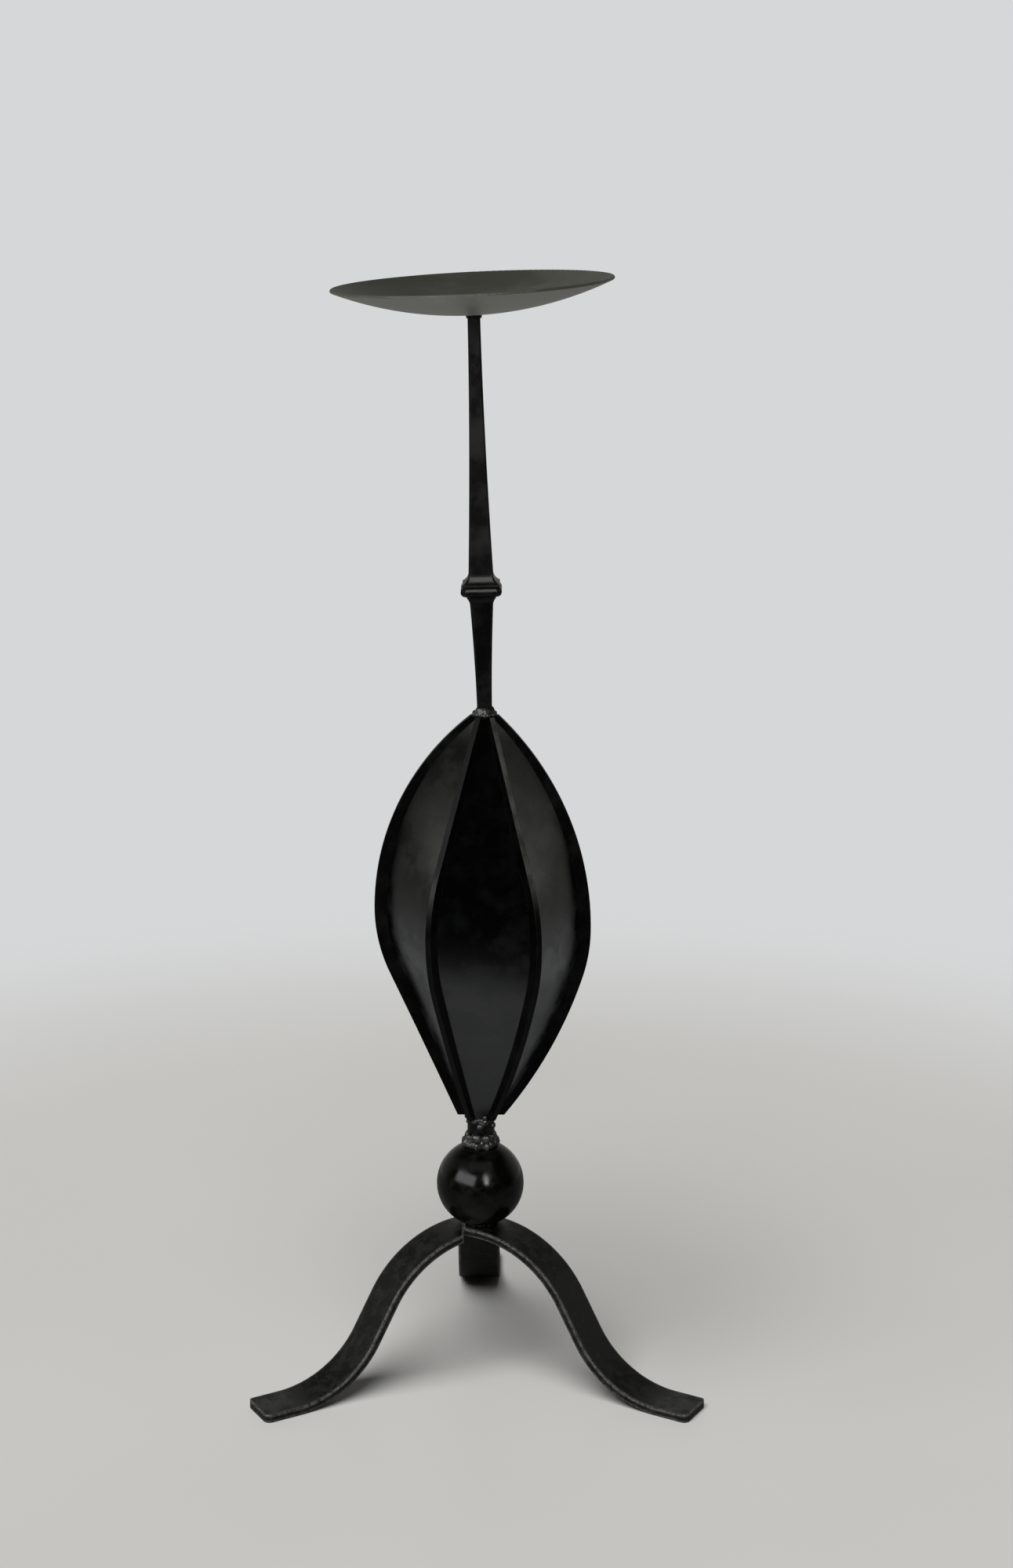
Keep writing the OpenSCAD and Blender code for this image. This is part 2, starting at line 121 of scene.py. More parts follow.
class Drag(Enum):
    """Which way the brush or the file went, as a stretch of the pattern along x, y and z."""

    ROUND = (1.0, 1.0, 1.0)
    UPRIGHT = (1.0, 1.0, 0.12)
    LEVEL = (0.25, 0.25, 1.0)


@dataclass(frozen=True)
class BrushedEnamel:
    """Black alkyd enamel, brushed by hand over hot forged mild steel.

    It dries to a soft satin. Where it lies thick it is near black, where it was rubbed
    it is a dusty dark grey, and on handled edges dull steel shows through. The hammer's
    flats and the drag of the brush both show in the shine, not in the colour.
    """

    name: str
    slot: str
    thick: str = "#0c0c0b"
    rubbed: str = "#262623"
    steel: str = "#5e5d58"
    roughness: float = 0.40
    roughness_swing: float = 0.10
    shine: float = 0.40
    # Rubbed patches come out of a cloud: where it starts to look rubbed, and is all rubbed
    patch_mm: float = 26.0
    rubbed_from: float = 0.43
    rubbed_full: float = 0.64
    # Real bristle marks are under half a millimetre apart, which is too fine to show
    drag: Drag = Drag.ROUND
    drag_mm: float = 2.4
    drag_deep_mm: float = 0.035
    # The hammer's flats
    flat_mm: float = 17.0
    flat_deep_mm: float = 0.12
    # A handled edge, by the cosine between its flat face and its rounded one
    edge_mm: float = 0.9
    edge_from: float = 0.994
    edge_full: float = 0.93
    wear: float = 0.55
    # The worn line is broken up by chips, this many to the length of a patch
    chips_to_patch: int = 3
    chip_from: float = 0.34
    chip_full: float = 0.56
    # Real dust is finer than this, and wouldn't show
    fleck_mm: float = 1.3
    fleck_from: float = 0.66
    fleck_full: float = 0.76
    flecks: float = 0.35
    # How much a handled edge is rubbed smoother
    edge_polish: float = 0.12

    def make(self) -> bpy.types.Material:
        """Builds the material.

        Returns:
            The material, ready for a node's slot.
        """
        paint, tree, place = blank(self.name)
        patches = self._patches(tree, place)
        worn = self._worn(tree, place)
        shader = add(tree, "ShaderNodeBsdfPrincipled", {
            "Base Color": self._colour(tree, place, patches, worn),
            "Roughness": self._gloss(tree, patches, worn),
            "Specular IOR Level": self.shine,
            "Normal": self._relief(tree, place),
        })
        add(tree, "ShaderNodeOutputMaterial", {"Surface": shader.outputs["BSDF"]})
        return paint

    def _patches(self, tree: Tree, place: Socket) -> Socket:
        """Maps where the paint is thick and where it was rubbed thin.

        Args:
            tree: the material's node tree.
            place: each point's place.

        Returns:
            0 on thick paint and 1 on rubbed paint.
        """
        cloud = add(tree, "ShaderNodeTexNoise", {
            "Vector": place, "Scale": per_metre(self.patch_mm),
            "Detail": 6.0, "Roughness": 0.62,
        })
        return add(tree, "ShaderNodeMapRange", {
            "Value": cloud.outputs[0], "From Min": self.rubbed_from, "From Max": self.rubbed_full,
        }, interpolation_type="SMOOTHSTEP").outputs[0]

    def _worn(self, tree: Tree, place: Socket) -> Socket:
        """Maps the handled edges, where the rounded normal parts from the flat one.

        Args:
            tree: the material's node tree.
            place: each point's place.

        Returns:
            How much bare steel shows, from 0 to 1.
        """
        face = add(tree, "ShaderNodeNewGeometry").outputs["Normal"]
        rounded = add(tree, "ShaderNodeBevel", {"Radius": self.edge_mm * MM}, samples=6)
        alike = add(tree, "ShaderNodeVectorMath", {
            0: face, 1: rounded.outputs["Normal"],
        }, operation="DOT_PRODUCT").outputs["Value"]
        edge = add(tree, "ShaderNodeMapRange", {
            "Value": alike, "From Min": self.edge_from, "From Max": self.edge_full,
            "To Max": self.wear,
        }, interpolation_type="SMOOTHSTEP").outputs[0]
        chips = add(tree, "ShaderNodeTexNoise", {
            "Vector": place, "Scale": per_metre(self.patch_mm / self.chips_to_patch),
            "Detail": 4.0, "Roughness": 0.7,
        })
        kept = add(tree, "ShaderNodeMapRange", {
            "Value": chips.outputs[0], "From Min": self.chip_from, "From Max": self.chip_full,
        }).outputs[0]
        return add(tree, "ShaderNodeMath", {0: edge, 1: kept}, operation="MULTIPLY").outputs[0]

    def _colour(self, tree: Tree, place: Socket, patches: Socket, worn: Socket) -> Socket:
        """Mixes thick paint, rubbed paint, flecks of dust and bare edges.

        Args:
            tree: the material's node tree.
            place: each point's place.
            patches: where the paint was rubbed.
            worn: where bare steel shows.

        Returns:
            The colour.
        """
        dust = add(tree, "ShaderNodeTexNoise", {
            "Vector": place, "Scale": per_metre(self.fleck_mm), "Detail": 2.0, "Roughness": 0.6,
        })
        specks = add(tree, "ShaderNodeMapRange", {
            "Value": dust.outputs[0], "From Min": self.fleck_from, "From Max": self.fleck_full,
            "To Max": self.flecks,
        }).outputs[0]
        coat = add(tree, "ShaderNodeMix", {
            SHARE: patches, FIRST: linear(self.thick), SECOND: linear(self.rubbed),
        }, data_type="RGBA").outputs[MIXED]
        for share in (specks, worn):
            coat = add(tree, "ShaderNodeMix", {
                SHARE: share, FIRST: coat, SECOND: linear(self.steel),
            }, data_type="RGBA").outputs[MIXED]
        return coat

    def _gloss(self, tree: Tree, patches: Socket, worn: Socket) -> Socket:
        """Makes thick paint shinier, rubbed paint duller and handled edges a little smoother.

        Args:
            tree: the material's node tree.
            patches: where the paint was rubbed.
            worn: where bare steel shows.

        Returns:
            The roughness.
        """
        swung = add(tree, "ShaderNodeMapRange", {
            "Value": patches, "To Min": self.roughness - self.roughness_swing / 2,
            "To Max": self.roughness + self.roughness_swing,
        }).outputs[0]
        return add(tree, "ShaderNodeMath", {
            0: worn, 1: -self.edge_polish, 2: swung,
        }, operation="MULTIPLY_ADD").outputs[0]

    def _relief(self, tree: Tree, place: Socket) -> Socket:
        """Adds the hammer's shallow flats and the brush's drag to the surface.

        Args:
            tree: the material's node tree.
            place: each point's place.

        Returns:
            The surface's normal.
        """
        # An edge is rounded over half the width that is worn
        rounded = add(tree, "ShaderNodeBevel", {"Radius": self.edge_mm * MM / 2}, samples=8)
        flats = add(tree, "ShaderNodeTexVoronoi", {
            "Vector": place, "Scale": per_metre(self.flat_mm), "Smoothness": 0.8,
        }, feature="SMOOTH_F1").outputs["Distance"]
        hammered = add(tree, "ShaderNodeBump", {
            "Height": flats, "Distance": self.flat_deep_mm * MM,
            "Normal": rounded.outputs["Normal"],
        }).outputs[0]
        stretched = add(tree, "ShaderNodeMapping", {"Vector": place, "Scale": self.drag.value})
        strokes = add(tree, "ShaderNodeTexNoise", {
            "Vector": stretched.outputs[0], "Scale": per_metre(self.drag_mm),
            "Detail": 3.0, "Roughness": 0.55,
        })
        return add(tree, "ShaderNodeBump", {
            "Height": strokes.outputs[0], "Distance": self.drag_deep_mm * MM, "Normal": hammered,
        }).outputs[0]


@dataclass(frozen=True)
class TurnedSteel:
    """Bright mild steel bar, as drawn, with rings from the lathe.

    Bare metal out of sight inside the pod: a cool mid grey that blurs what it mirrors.
    """

    name: str
    slot: str
    bright: str = "#8f8d88"
    dull: str = "#6f6d69"
    roughness: float = 0.42
    # Real rings are 0.8 mm apart, which is too fine to show, so these are 2 pi times as coarse
    ring_mm: float = 0.8 * math.tau
    ring_deep_mm: float = 0.01
    stain_mm: float = 12.0

    def make(self) -> bpy.types.Material:
        """Builds the material.

        Returns:
            The material, ready for a node's slot.
        """
        steel, tree, place = blank(self.name)
        stains = add(tree, "ShaderNodeTexNoise", {
            "Vector": place, "Scale": per_metre(self.stain_mm),
        }).outputs[0]
        colour = add(tree, "ShaderNodeMix", {
            SHARE: stains, FIRST: linear(self.bright), SECOND: linear(self.dull),
        }, data_type="RGBA").outputs[MIXED]
        rings = add(tree, "ShaderNodeTexWave", {
            "Vector": place, "Scale": per_metre(self.ring_mm) * WAVE_STEP, "Distortion": 0.4,
        }, bands_direction="Z").outputs[0]
        bump = add(tree, "ShaderNodeBump", {
            "Height": rings, "Distance": self.ring_deep_mm * MM,
        }).outputs[0]
        shader = add(tree, "ShaderNodeBsdfPrincipled", {
            "Base Color": colour, "Metallic": 1.0, "Roughness": self.roughness, "Normal": bump,
        })
        add(tree, "ShaderNodeOutputMaterial", {"Surface": shader.outputs["BSDF"]})
        return steel


@dataclass(frozen=True)
class PaleFloorPaint:
    """Pale floor paint, rolled over smooth concrete.

    A plain warm light grey with a faint cloud in it and a low sheen, which gives a soft
    dark shape under anything black that stands on it. It thins out into the pale room
    far from the stand, so no edge of it shows.
    """

    name: str = "pale_floor_paint"
    light: str = "#dad9d6"
    shade: str = "#d1d0cc"
    cloud_mm: float = 420.0
    roughness: float = 0.38
    # What the black paint mirrors is the floor with painted shade on it: dark out in front of the
    # windows, mid grey near the stand and pale only far behind, so the pale one doesn't wash the
    # black out
    mirrored_front_shade: str = "#2a2b2c"
    mirrored_near_shade: str = "#6d6e6c"
    mirrored_far: str = "#dcd8da"
    front_mm: float = -780.0
    near_mm: float = -300.0
    behind_mm: float = 620.0
    far_mm: float = 900.0
    # Where the paint starts to thin out, by the distance from the stand, and is gone
    full_mm: float = 620.0
    gone_mm: float = 1150.0

    def make(self) -> bpy.types.Material:
        """Builds the material.

        Returns:
            The material for the floor.
        """
        paint, tree, place = blank(self.name)
        cloud = add(tree, "ShaderNodeTexNoise", {
            "Vector": place, "Scale": per_metre(self.cloud_mm),
        }).outputs[0]
        looked_at = add(tree, "ShaderNodeMix", {
            SHARE: cloud, FIRST: linear(self.light), SECOND: linear(self.shade),
        }, data_type="RGBA").outputs[MIXED]
        seen = add(tree, "ShaderNodeLightPath").outputs["Is Camera Ray"]
        # The stand mirrors the floor with painted shade, while the camera sees the plain pale
        # floor
        colour = add(tree, "ShaderNodeMix", {
            SHARE: seen, FIRST: self._mirrored(tree, place), SECOND: looked_at,
        }, data_type="RGBA").outputs[MIXED]
        away = add(tree, "ShaderNodeVectorMath", {0: place}, operation="LENGTH")
        laid = add(tree, "ShaderNodeMapRange", {
            "Value": away.outputs["Value"],
            "From Min": self.full_mm * MM, "From Max": self.gone_mm * MM,
            "To Min": 1.0, "To Max": 0.0,
        }, interpolation_type="SMOOTHSTEP").outputs[0]
        # Only the camera sees it thin out
        unseen = add(tree, "ShaderNodeMath", {0: 1.0, 1: seen}, operation="SUBTRACT").outputs[0]
        laid = add(tree, "ShaderNodeMath", {0: laid, 1: unseen}, operation="MAXIMUM").outputs[0]
        shader = add(tree, "ShaderNodeBsdfPrincipled", {
            "Base Color": colour, "Roughness": self.roughness, "Alpha": laid,
        })
        add(tree, "ShaderNodeOutputMaterial", {"Surface": shader.outputs["BSDF"]})
        return paint

    def _mirrored(self, tree: Tree, place: Socket) -> Socket:
        """Gives the floor that shows in the paint, with painted shade from front to back.

        Args:
            tree: the material's node tree.
            place: each point's place.

        Returns:
            The colour.
        """
        back = add(tree, "ShaderNodeSeparateXYZ", {0: place}).outputs["Y"]
        colour: Socket | Colour = linear(self.mirrored_front_shade)
        for code, start, end in ((self.mirrored_near_shade, self.front_mm, self.near_mm),
                                 (self.mirrored_far, self.behind_mm, self.far_mm)):
            share = add(tree, "ShaderNodeMapRange", {
                "Value": back, "From Min": start * MM, "From Max": end * MM,
            }, interpolation_type="SMOOTHSTEP").outputs[0]
            colour = add(tree, "ShaderNodeMix", {
                SHARE: share, FIRST: colour, SECOND: linear(code),
            }, data_type="RGBA").outputs[MIXED]
        return colour


# Old paint that has gone chalky: a dull olive grey with hardly a mark in it
PAN_COAT = BrushedEnamel(
    "pan_enamel", "pan_sheet", thick="#505148", rubbed="#6b6c62", roughness=0.46,
    patch_mm=90.0, drag=Drag.LEVEL, flat_mm=24.0, flat_deep_mm=0.10, edge_mm=0.6, wear=0.25,
    flecks=0.10)
# Brushed down the bar, deep black, with the hammer's flats in its shine
STEM_COAT = BrushedEnamel(
    "stem_enamel", "stem_bar", thick="#040404", rubbed="#0b0b0a", roughness=0.29,
    roughness_swing=0.08, shine=0.30, drag=Drag.UPRIGHT, flat_mm=14.0, flat_deep_mm=0.16,
    edge_mm=0.8, wear=0.15, flecks=0.15)
# The blackest of all, so the ribs draw dark lines round the sheets
RIB_COAT = BrushedEnamel(
    "rib_enamel", "pod_rib", thick="#030303", rubbed="#080807", roughness=0.34, shine=0.15,
    drag=Drag.UPRIGHT, edge_mm=0.8, wear=0.08, flecks=0.08)
# Clouded with rubbed patches, and shiny enough to mirror the floor low down
SHEET_COAT = BrushedEnamel(
    "sheet_enamel", "pod_sheet", thick="#040505", rubbed="#2b2c2d", roughness=0.32,
    roughness_swing=0.10, shine=0.5, patch_mm=18.0, flat_mm=20.0, flat_deep_mm=0.18,
    edge_mm=0.6, wear=0.1, flecks=0.20)
# Thin and dusty over the lumps of weld, whose tops catch the light
BEAD_COAT = BrushedEnamel(
    "bead_enamel", "weld_bead", thick="#141414", rubbed="#3c3c3a", roughness=0.34, shine=0.9,
    patch_mm=7.0, drag_deep_mm=0.015, flat_mm=3.0, flat_deep_mm=0.02, edge_mm=0.4, wear=0.2,
    flecks=0.08)
# The same, darker and less shiny, for the welds under the pan and the ball: painted shade
SHADED_BEAD_COAT = replace(
    BEAD_COAT, name="dark_bead_enamel", thick="#060606", rubbed="#111110", shine=0.25)
# Thick paint on a short round bar
NECK_COAT = BrushedEnamel(
    "neck_enamel", "neck_tube", thick="#050505", rubbed="#121211", roughness=0.30, shine=0.3,
    flat_mm=7.0, patch_mm=9.0)
# The smoothest coat, which shows the windows as soft bright shapes
BALL_COAT = BrushedEnamel(
    "ball_enamel", "solid_ball", thick="#050504", rubbed="#0f0f0d", roughness=0.20,
    roughness_swing=0.08, shine=0.26, patch_mm=12.0, flat_mm=12.0, flat_deep_mm=0.16, wear=0.1,
    flecks=0.10)
# Scuffed by feet and brooms, and worn to steel along every edge
STRAP_COAT = BrushedEnamel(
    "strap_enamel", "leg_strap", thick="#060605", rubbed="#1f1f1a", steel="#86857d",
    roughness=0.40, roughness_swing=0.16, shine=0.34, patch_mm=8.0, drag=Drag.LEVEL,
    drag_deep_mm=0.05, flat_mm=19.0, flat_deep_mm=0.18, edge_mm=3.2, wear=0.78, flecks=0.5)
# Bare bar that no brush could reach inside the pod
ROD_STEEL = TurnedSteel("rod_steel", "bare_bar")


def dress(names: Iterable[str], finish: BrushedEnamel | TurnedSteel) -> None:
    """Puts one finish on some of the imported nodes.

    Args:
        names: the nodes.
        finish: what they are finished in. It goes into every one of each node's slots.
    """
    made = finish.make()
    for name in names:
        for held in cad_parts[name].material_slots:
            held.material = made
        LOG.info("%s is finished in %s", name, finish.name)


def mesh_of(shape: bmesh.types.BMesh, name: str) -> bpy.types.Mesh:
    """Turns a worked shape into a mesh, and lets the shape go.

    Args:
        shape: the shape.
        name: the mesh's name.

    Returns:
        The mesh.
    """
    mesh = bpy.data.meshes.new(name)
    shape.to_mesh(mesh)
    shape.free()
    return mesh


def put(name: str, held: bpy.types.ID) -> bpy.types.Object:
    """Puts a mesh, a lamp or a camera into the scene.

    Args:
        name: the object's name.
        held: what the object holds.

    Returns:
        The object.
    """
    thing = bpy.data.objects.new(name, held)
    bpy.context.scene.collection.objects.link(thing)
    return thing


@dataclass(frozen=True)
class Spine:
    """The line through the middles of ball, pod and stem, which leans one way and then back."""

    ball_z: float = 141.2
    point_z: float = 496.0
    # Leans from upright, towards the viewer's right
    pod_lean: float = 0.65
    stem_lean: float = -1.42

    def at(self, z: float) -> Vector:
        """Gives the point of the line at a height.

        Args:
            z: the height.

        Returns:
            The point, in millimetres.
        """
        low = min(z, self.point_z) - self.ball_z
        high = max(z - self.point_z, 0.0)
        pod_slope = math.tan(math.radians(self.pod_lean))
        stem_slope = math.tan(math.radians(self.stem_lean))
        return Vector((low * pod_slope + high * stem_slope, 0.0, z))


@dataclass(frozen=True)
class Puddle:
    """One drop of weld metal as it froze, in millimetres."""

    place: Vector
    along: float
    out: float
    tall: float
    heading: float

    def matrix(self) -> Matrix:
        """Gives the matrix that makes a ball of radius 1 into the drop, in metres."""
        shape = Matrix.Diagonal((self.along * MM, self.out * MM, self.tall * MM, 1.0))
        return Matrix.Translation(self.place * MM) @ Matrix.Rotation(self.heading, 4, "Z") @ shape


@dataclass
class WeldBead:
    """A bead of weld run round a joint: overlapping puddles that froze one after another."""

    name: str
    centre: Vector
    radius: float
    puddle: float
    tall: float
    seed: int
    # From one puddle to the next, and a puddle's length along the run, by its width
    pitch_share: float = 0.85
    length_share: float = 0.62
    # How much the puddles differ in size, and stray along the run and across it
    uneven: float = 0.22
    stray: float = 0.2
    wander: float = 0.12
    # The skin that fuses them, how much and how often it is smoothed, and the grit left on it
    voxel: float = 0.42
    smoothing: float = 0.5
    smoothings: int = 4
    grit: float = 0.06
    grit_mm: float = 1.6
    extra: list[Puddle] = field(default_factory=list)

    def puddles(self) -> list[Puddle]:
        """Lays the puddles round the joint.

        Returns:
            The puddles, the bead's own first.
        """
        rng = random.Random(self.seed)
        count = round(2 * math.pi * self.radius / (self.puddle * self.pitch_share))
        laid = []
        for index in range(count):
            turn = 2 * math.pi * (index + rng.uniform(-self.stray, self.stray)) / count
            size = self.puddle * rng.uniform(1 - self.uneven, 1 + self.uneven)
            away = self.radius + rng.uniform(-self.wander, self.wander) * self.puddle
            place = self.centre + Vector((math.sin(turn) * away, -math.cos(turn) * away, 0.0))
            place.z += rng.uniform(-self.wander, self.wander) * self.tall
            tall = self.tall * size / self.puddle
            laid.append(Puddle(place, size * self.length_share, size, tall, turn))
        return laid + self.extra

    def build(self) -> bpy.types.Object:
        """Fuses the puddles into one skin.

        Returns:
            The bead as one mesh.
        """
        shape = bmesh.new()
        for puddle in self.puddles():
            bmesh.ops.create_icosphere(shape, subdivisions=3, radius=1.0, matrix=puddle.matrix())
        bead = put(self.name, mesh_of(shape, self.name))
        skin = bead.modifiers.new("fused", "REMESH")
        skin.mode = "VOXEL"
        skin.voxel_size = self.voxel * MM
        settled = bead.modifiers.new("settled", "SMOOTH")
        settled.factor = self.smoothing
        settled.iterations = self.smoothings
        freeze(bead)
        roughen(bead, self.grit, self.grit_mm)
        return bead


def freeze(piece: bpy.types.Object) -> None:
    """Turns a piece's modifiers into plain mesh with smooth faces.

    Args:
        piece: the piece.
    """
    bpy.context.view_layer.update()
    worked = piece.evaluated_get(bpy.context.evaluated_depsgraph_get())
    done = bpy.data.meshes.new_from_object(worked)
    old = piece.data
    piece.modifiers.clear()
    piece.data = done
    done.name = piece.name
    bpy.data.meshes.remove(old)
    done.shade_smooth()


def roughen(piece: bpy.types.Object, deep: float, size: float) -> None:
    """Moves a mesh's points in and out a little, by noise.

    Args:
        piece: the mesh.
        deep: how far a point moves at most, in millimetres.
        size: how long one rise or hollow is, in millimetres.
    """
    mesh = piece.data
    moved = [p.co + p.normal * deep * MM * noise.noise(p.co * per_metre(size))
             for p in mesh.vertices]
    for point, place in zip(mesh.vertices, moved):
        point.co = place
    mesh.update()


def smoothed(name: str, node: str, crease: float = 35.0, same: float = 0.002) -> bpy.types.Object:
    """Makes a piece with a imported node's form, whose shading runs smoothly over its facets.

    Args:
        name: the piece's name.
        node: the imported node.
        crease: an edge where the faces turn by more degrees than this stays sharp.
        same: points closer than this, in millimetres, are one.

    Returns:
        The piece, in the node's place.
    """
    shape = bmesh.new()
    shape.from_mesh(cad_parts[node].data)
    bmesh.ops.remove_doubles(shape, verts=shape.verts, dist=same * MM)
    mesh = mesh_of(shape, name)
    if mesh.has_custom_normals:
        mesh.attributes.remove(mesh.attributes["custom_normal"])
    mesh.shade_smooth()
    mesh.set_sharp_from_angle(angle=math.radians(crease))
    return put(name, mesh)


def fit(piece: bpy.types.Object, slot: str, made: bpy.types.Material, *nodes: str) -> None:
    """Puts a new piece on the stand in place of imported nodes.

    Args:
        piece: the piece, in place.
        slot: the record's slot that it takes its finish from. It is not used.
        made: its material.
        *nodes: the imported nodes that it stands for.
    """
    piece.data.materials.clear()
    piece.data.materials.append(made)
    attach(piece, BODY)
    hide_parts(*nodes)
    LOG.info("%s is built, with %d faces", piece.name, len(piece.data.polygons))


@dataclass
class DripPan:
    """The pan on top and the weld that holds it to the stem."""

    spine: Spine
    weld_z: float = 772.8
    weld_r: float = 4.4
    weld_out: float = 1.1
    weld_tall: float = 1.5

    def build(self, shaded_bead: bpy.types.Material) -> None:
        """Builds the weld under the pan and finishes the pan.

        Args:
            shaded_bead: what the weld is finished in, the bead paint darkened with painted shade.
        """
        bead = WeldBead("pan_weld_bead", self.spine.at(self.weld_z), self.weld_r,
                        self.weld_out, self.weld_tall, seed=11).build()
        fit(bead, SHADED_BEAD_COAT.slot, shaded_bead, "dish_weld")
        dress(["dish"], PAN_COAT)


@dataclass
class Stem:
    """The two lengths of tapered square bar and the collar between them."""

    spine: Spine
    weld_z: float = 497.4
    weld_r: float = 5.0
    weld_out: float = 2.2
    weld_tall: float = 3.4
    root_z: float = 495.8
    root_r: float = 6.7
    root_out: float = 2.2
    root_tall: float = 1.7

    def build(self, bead_made: bpy.types.Material) -> None:
        """Builds the weld at the stem's foot and finishes the bars.

        Args:
            bead_made: what the weld is finished in.
        """
        root = WeldBead("root", self.spine.at(self.root_z), self.root_r,
                        self.root_out, self.root_tall, seed=29)
        bead = WeldBead("pod_point_weld_bead", self.spine.at(self.weld_z), self.weld_r,
                        self.weld_out, self.weld_tall, seed=23, extra=root.puddles()).build()
        fit(bead, BEAD_COAT.slot, bead_made, "pod_top_weld")
        dress(["upper_stem", "stem_collar", "lower_stem"], STEM_COAT)


@dataclass
class Pod:
    """Six bent ribs, six sheets let in between them, and the rod inside."""

    sides: int = 6

    def build(self) -> None:
        """Finishes the ribs and the rod, and builds the sheets."""
        numbers = range(1, self.sides + 1)
        dress([f"rib_{n}" for n in numbers], RIB_COAT)
        sheet_made = SHEET_COAT.make()
        for n in numbers:
            sheet = smoothed(f"sheet_{n}", f"panel_{n}")
            fit(sheet, SHEET_COAT.slot, sheet_made, f"panel_{n}")
        dress(["pod_spindle"], ROD_STEEL)


@dataclass
class NeckAndBall:
    """The neck, the ball and the lumpy welds above and below the neck."""

    spine: Spine
    neck_r: float = 9.8
    ball_weld_z: float = 173.6
    ball_weld_r: float = 11.0
    ball_weld_out: float = 2.9
    ball_weld_tall: float = 3.2
    pod_weld_z: float = 193.4
    pod_weld_r: float = 9.8
    pod_weld_out: float = 1.9
    pod_weld_tall: float = 2.2
    # A drop's depth by its radius
    drop_depth: float = 0.8
    # Lumps in front: how far right of the neck's line, how high, their radius, how proud
    lower_lumps: tuple[tuple[float, float, float, float], ...] = (
        (-3.2, 180.3, 4.0, 0.7), (4.5, 180.0, 3.7, 0.75), (-8.8, 179.2, 2.4, 0.4),
        (8.7, 179.8, 2.4, 0.4), (0.3, 175.8, 2.8, 0.6))
    upper_lumps: tuple[tuple[float, float, float, float], ...] = (
        (-0.3, 189.0, 2.7, 0.6), (3.4, 192.2, 2.5, 0.6), (-4.4, 193.0, 2.3, 0.5),
        (3.0, 196.4, 2.0, 1.1))
    # A second run of thin tall puddles eases the neck into the ball
    skirt_z: float = 177.4
    skirt_size: float = 2.7
    skirt_rise: float = 1.7
    skirt_count: int = 12
    # Drops round the sides and the back: the turn they start at and go through, where each
    # lies in its own share of it, their least and greatest radius, and the lowest and
    # highest of each weld's
    drops: int = 7
    drops_from: float = 60.0
    drops_through: float = 240.0
    drop_shift: tuple[float, float] = (0.1, 0.9)
    drop_sizes: tuple[float, float] = (1.4, 3.0)
    lower_drops: tuple[float, float] = (176.0, 183.0)
    upper_drops: tuple[float, float] = (187.0, 192.5)

    def lump(self, x: float, z: float, size: float, proud: float) -> Puddle:
        """Makes a lump of weld on the neck's front.

        Args:
            x: how far right of the neck's line it is.
            z: its height.
            size: its radius.
            proud: the share of its radius that its middle stands out from the neck.

        Returns:
            The lump.
        """
        away = self.neck_r + proud * size
        turn = math.asin(max(-1.0, min(1.0, x / away)))
        place = self.spine.at(z) + Vector((math.sin(turn) * away, -math.cos(turn) * away, 0.0))
        return Puddle(place, size, size * self.drop_depth, size, turn)

    def skirt(self) -> list[Puddle]:
        """Lays the second run of puddles round the neck.

        Returns:
            The puddles.
        """
        size = self.skirt_size
        laid = []
        for index in range(self.skirt_count):
            turn = 2 * math.pi * index / self.skirt_count
            way = Vector((math.sin(turn), -math.cos(turn), 0.0))
            place = self.spine.at(self.skirt_z) + way * self.neck_r
            laid.append(Puddle(place, size, size * self.drop_depth, size * self.skirt_rise, turn))
        return laid

    def scatter(self, low: float, high: float, seed: int) -> list[Puddle]:
        """Scatters drops round the sides and the back of the neck.

        Args:
            low: the lowest that one lies.
            high: the highest that one lies.
            seed: the start of the random draws.

        Returns:
            The drops.
        """
        rng = random.Random(seed)
        start, through = math.radians(self.drops_from), math.radians(self.drops_through)
        laid = []
        for index in range(self.drops):
            turn = start + through * (index + rng.uniform(*self.drop_shift)) / self.drops
            size = rng.uniform(*self.drop_sizes)
            place = self.spine.at(rng.uniform(low, high))
            place += Vector((math.sin(turn) * self.neck_r, -math.cos(turn) * self.neck_r, 0.0))
            laid.append(Puddle(place, size, size * self.drop_depth, size, turn))
        return laid

    def build(self, bead_made: bpy.types.Material) -> None:
        """Builds the two welds and finishes the neck and the ball.

        Args:
            bead_made: what the welds are finished in.
        """
        lower = [*(self.lump(*spot) for spot in self.lower_lumps), *self.skirt(),
                 *self.scatter(*self.lower_drops, seed=41)]
        upper = [*(self.lump(*spot) for spot in self.upper_lumps),
                 *self.scatter(*self.upper_drops, seed=43)]
        low_bead = WeldBead("neck_weld_bead", self.spine.at(self.ball_weld_z), self.ball_weld_r,
                            self.ball_weld_out, self.ball_weld_tall, seed=31, extra=lower)
        fit(low_bead.build(), BEAD_COAT.slot, bead_made, "neck_weld")
        high_bead = WeldBead("pod_foot_weld_bead", self.spine.at(self.pod_weld_z), self.pod_weld_r,
                             self.pod_weld_out, self.pod_weld_tall, seed=37, extra=upper)
        fit(high_bead.build(), BEAD_COAT.slot, bead_made, "pod_bottom_weld")
        dress(["neck"], NECK_COAT)
        dress(["ball"], BALL_COAT)


@dataclass
class Tripod:
    """The three strap legs and the weld that holds the ball on them."""

    weld_z: float = 111.2
    weld_r: float = 11.0
    weld_out: float = 2.2
    weld_tall: float = 1.8

    def build(self, shaded_bead: bpy.types.Material) -> None:
        """Builds the weld under the ball and finishes the straps.

        Args:
            shaded_bead: what the weld is finished in, the bead paint darkened with painted shade.
        """
        bead = WeldBead("hub_weld_bead", Vector((0.0, 0.0, self.weld_z)), self.weld_r,
                        self.weld_out, self.weld_tall, seed=53).build()
        fit(bead, SHADED_BEAD_COAT.slot, shaded_bead, "leg_weld")
        dress(["leg_front_left", "leg_front_right", "leg_back"], STRAP_COAT)


